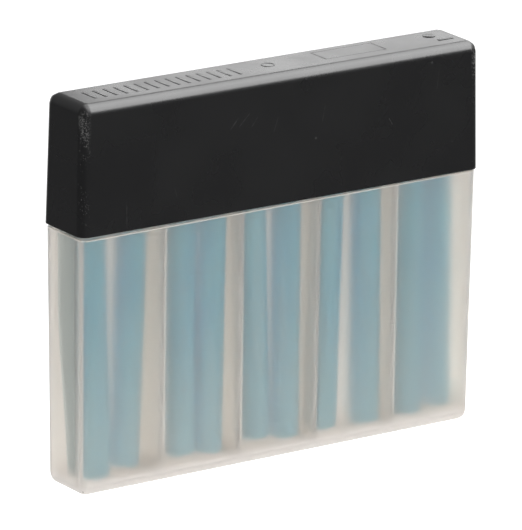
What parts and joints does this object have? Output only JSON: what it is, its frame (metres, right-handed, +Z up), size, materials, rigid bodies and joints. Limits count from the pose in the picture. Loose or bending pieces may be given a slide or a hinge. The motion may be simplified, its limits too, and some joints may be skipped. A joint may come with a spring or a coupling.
{
  "type": "slip-lid stick case",
  "caption": "Flat frosted plastic case with a black slip-over cap; pockets between its dividers hold round blue cleaning sticks that lift out once the cap is pulled off.",
  "frame": {"origin": "centre of the case's underside", "axes": "+X along the case's width, +Y to the back, so the front faces -Y, +Z up through the cap"},
  "size_m": [0.1412, 0.0212, 0.118],
  "materials": {
    "frosted_case": "frosted, milky translucent moulded plastic",
    "black_cap": "black moulded plastic, half gloss with light scuffs",
    "blue_stick": "matt pressed soap, slightly mottled"
  },
  "bodies": {
    "case": {"case_body": "frosted_case"},
    "cap": {"cap": "black_cap"},
    "stick_01": {"stick_01": "blue_stick"},
    "stick_02": {"stick_02": "blue_stick"},
    "stick_03": {"stick_03": "blue_stick"},
    "stick_04": {"stick_04": "blue_stick"},
    "stick_05": {"stick_05": "blue_stick"},
    "stick_06": {"stick_06": "blue_stick"},
    "stick_07": {"stick_07": "blue_stick"},
    "stick_08": {"stick_08": "blue_stick"},
    "stick_09": {"stick_09": "blue_stick"},
    "stick_10": {"stick_10": "blue_stick"}
  },
  "joints": [
    {"name": "cap_slide", "type": "slide", "parent": "case", "child": "cap", "axis": [0, 0, 1], "range_m": [0, 0.04]},
    {"name": "stick_01_slide", "type": "slide", "parent": "case", "child": "stick_01", "axis": [-0.02, 0.0108, 0.9997], "range_m": [0, 0.0075]},
    {"name": "stick_02_slide", "type": "slide", "parent": "case", "child": "stick_02", "axis": [0.032, 0.0001, 0.9995], "range_m": [0, 0.0075]},
    {"name": "stick_03_slide", "type": "slide", "parent": "case", "child": "stick_03", "axis": [-0.008, -0.0026, 1], "range_m": [0, 0.0075]},
    {"name": "stick_04_slide", "type": "slide", "parent": "case", "child": "stick_04", "axis": [0.0067, -0.0052, 1], "range_m": [0, 0.0075]},
    {"name": "stick_05_slide", "type": "slide", "parent": "case", "child": "stick_05", "axis": [-0.0346, -0.0052, 0.9994], "range_m": [0, 0.0075]},
    {"name": "stick_06_slide", "type": "slide", "parent": "case", "child": "stick_06", "axis": [-0.004, -0.0012, 1], "range_m": [0, 0.0075]},
    {"name": "stick_07_slide", "type": "slide", "parent": "case", "child": "stick_07", "axis": [0.0187, -0.0052, 0.9998], "range_m": [0, 0.0075]},
    {"name": "stick_08_slide", "type": "slide", "parent": "case", "child": "stick_08", "axis": [-0.0147, -0.0052, 0.9999], "range_m": [0, 0.0075]},
    {"name": "stick_09_slide", "type": "slide", "parent": "case", "child": "stick_09", "axis": [-0.0053, -0.0146, 0.9999], "range_m": [0, 0.0075]},
    {"name": "stick_10_slide", "type": "slide", "parent": "case", "child": "stick_10", "axis": [-0.0027, 0.0148, 0.9999], "range_m": [0, 0.0075]}
  ]
}
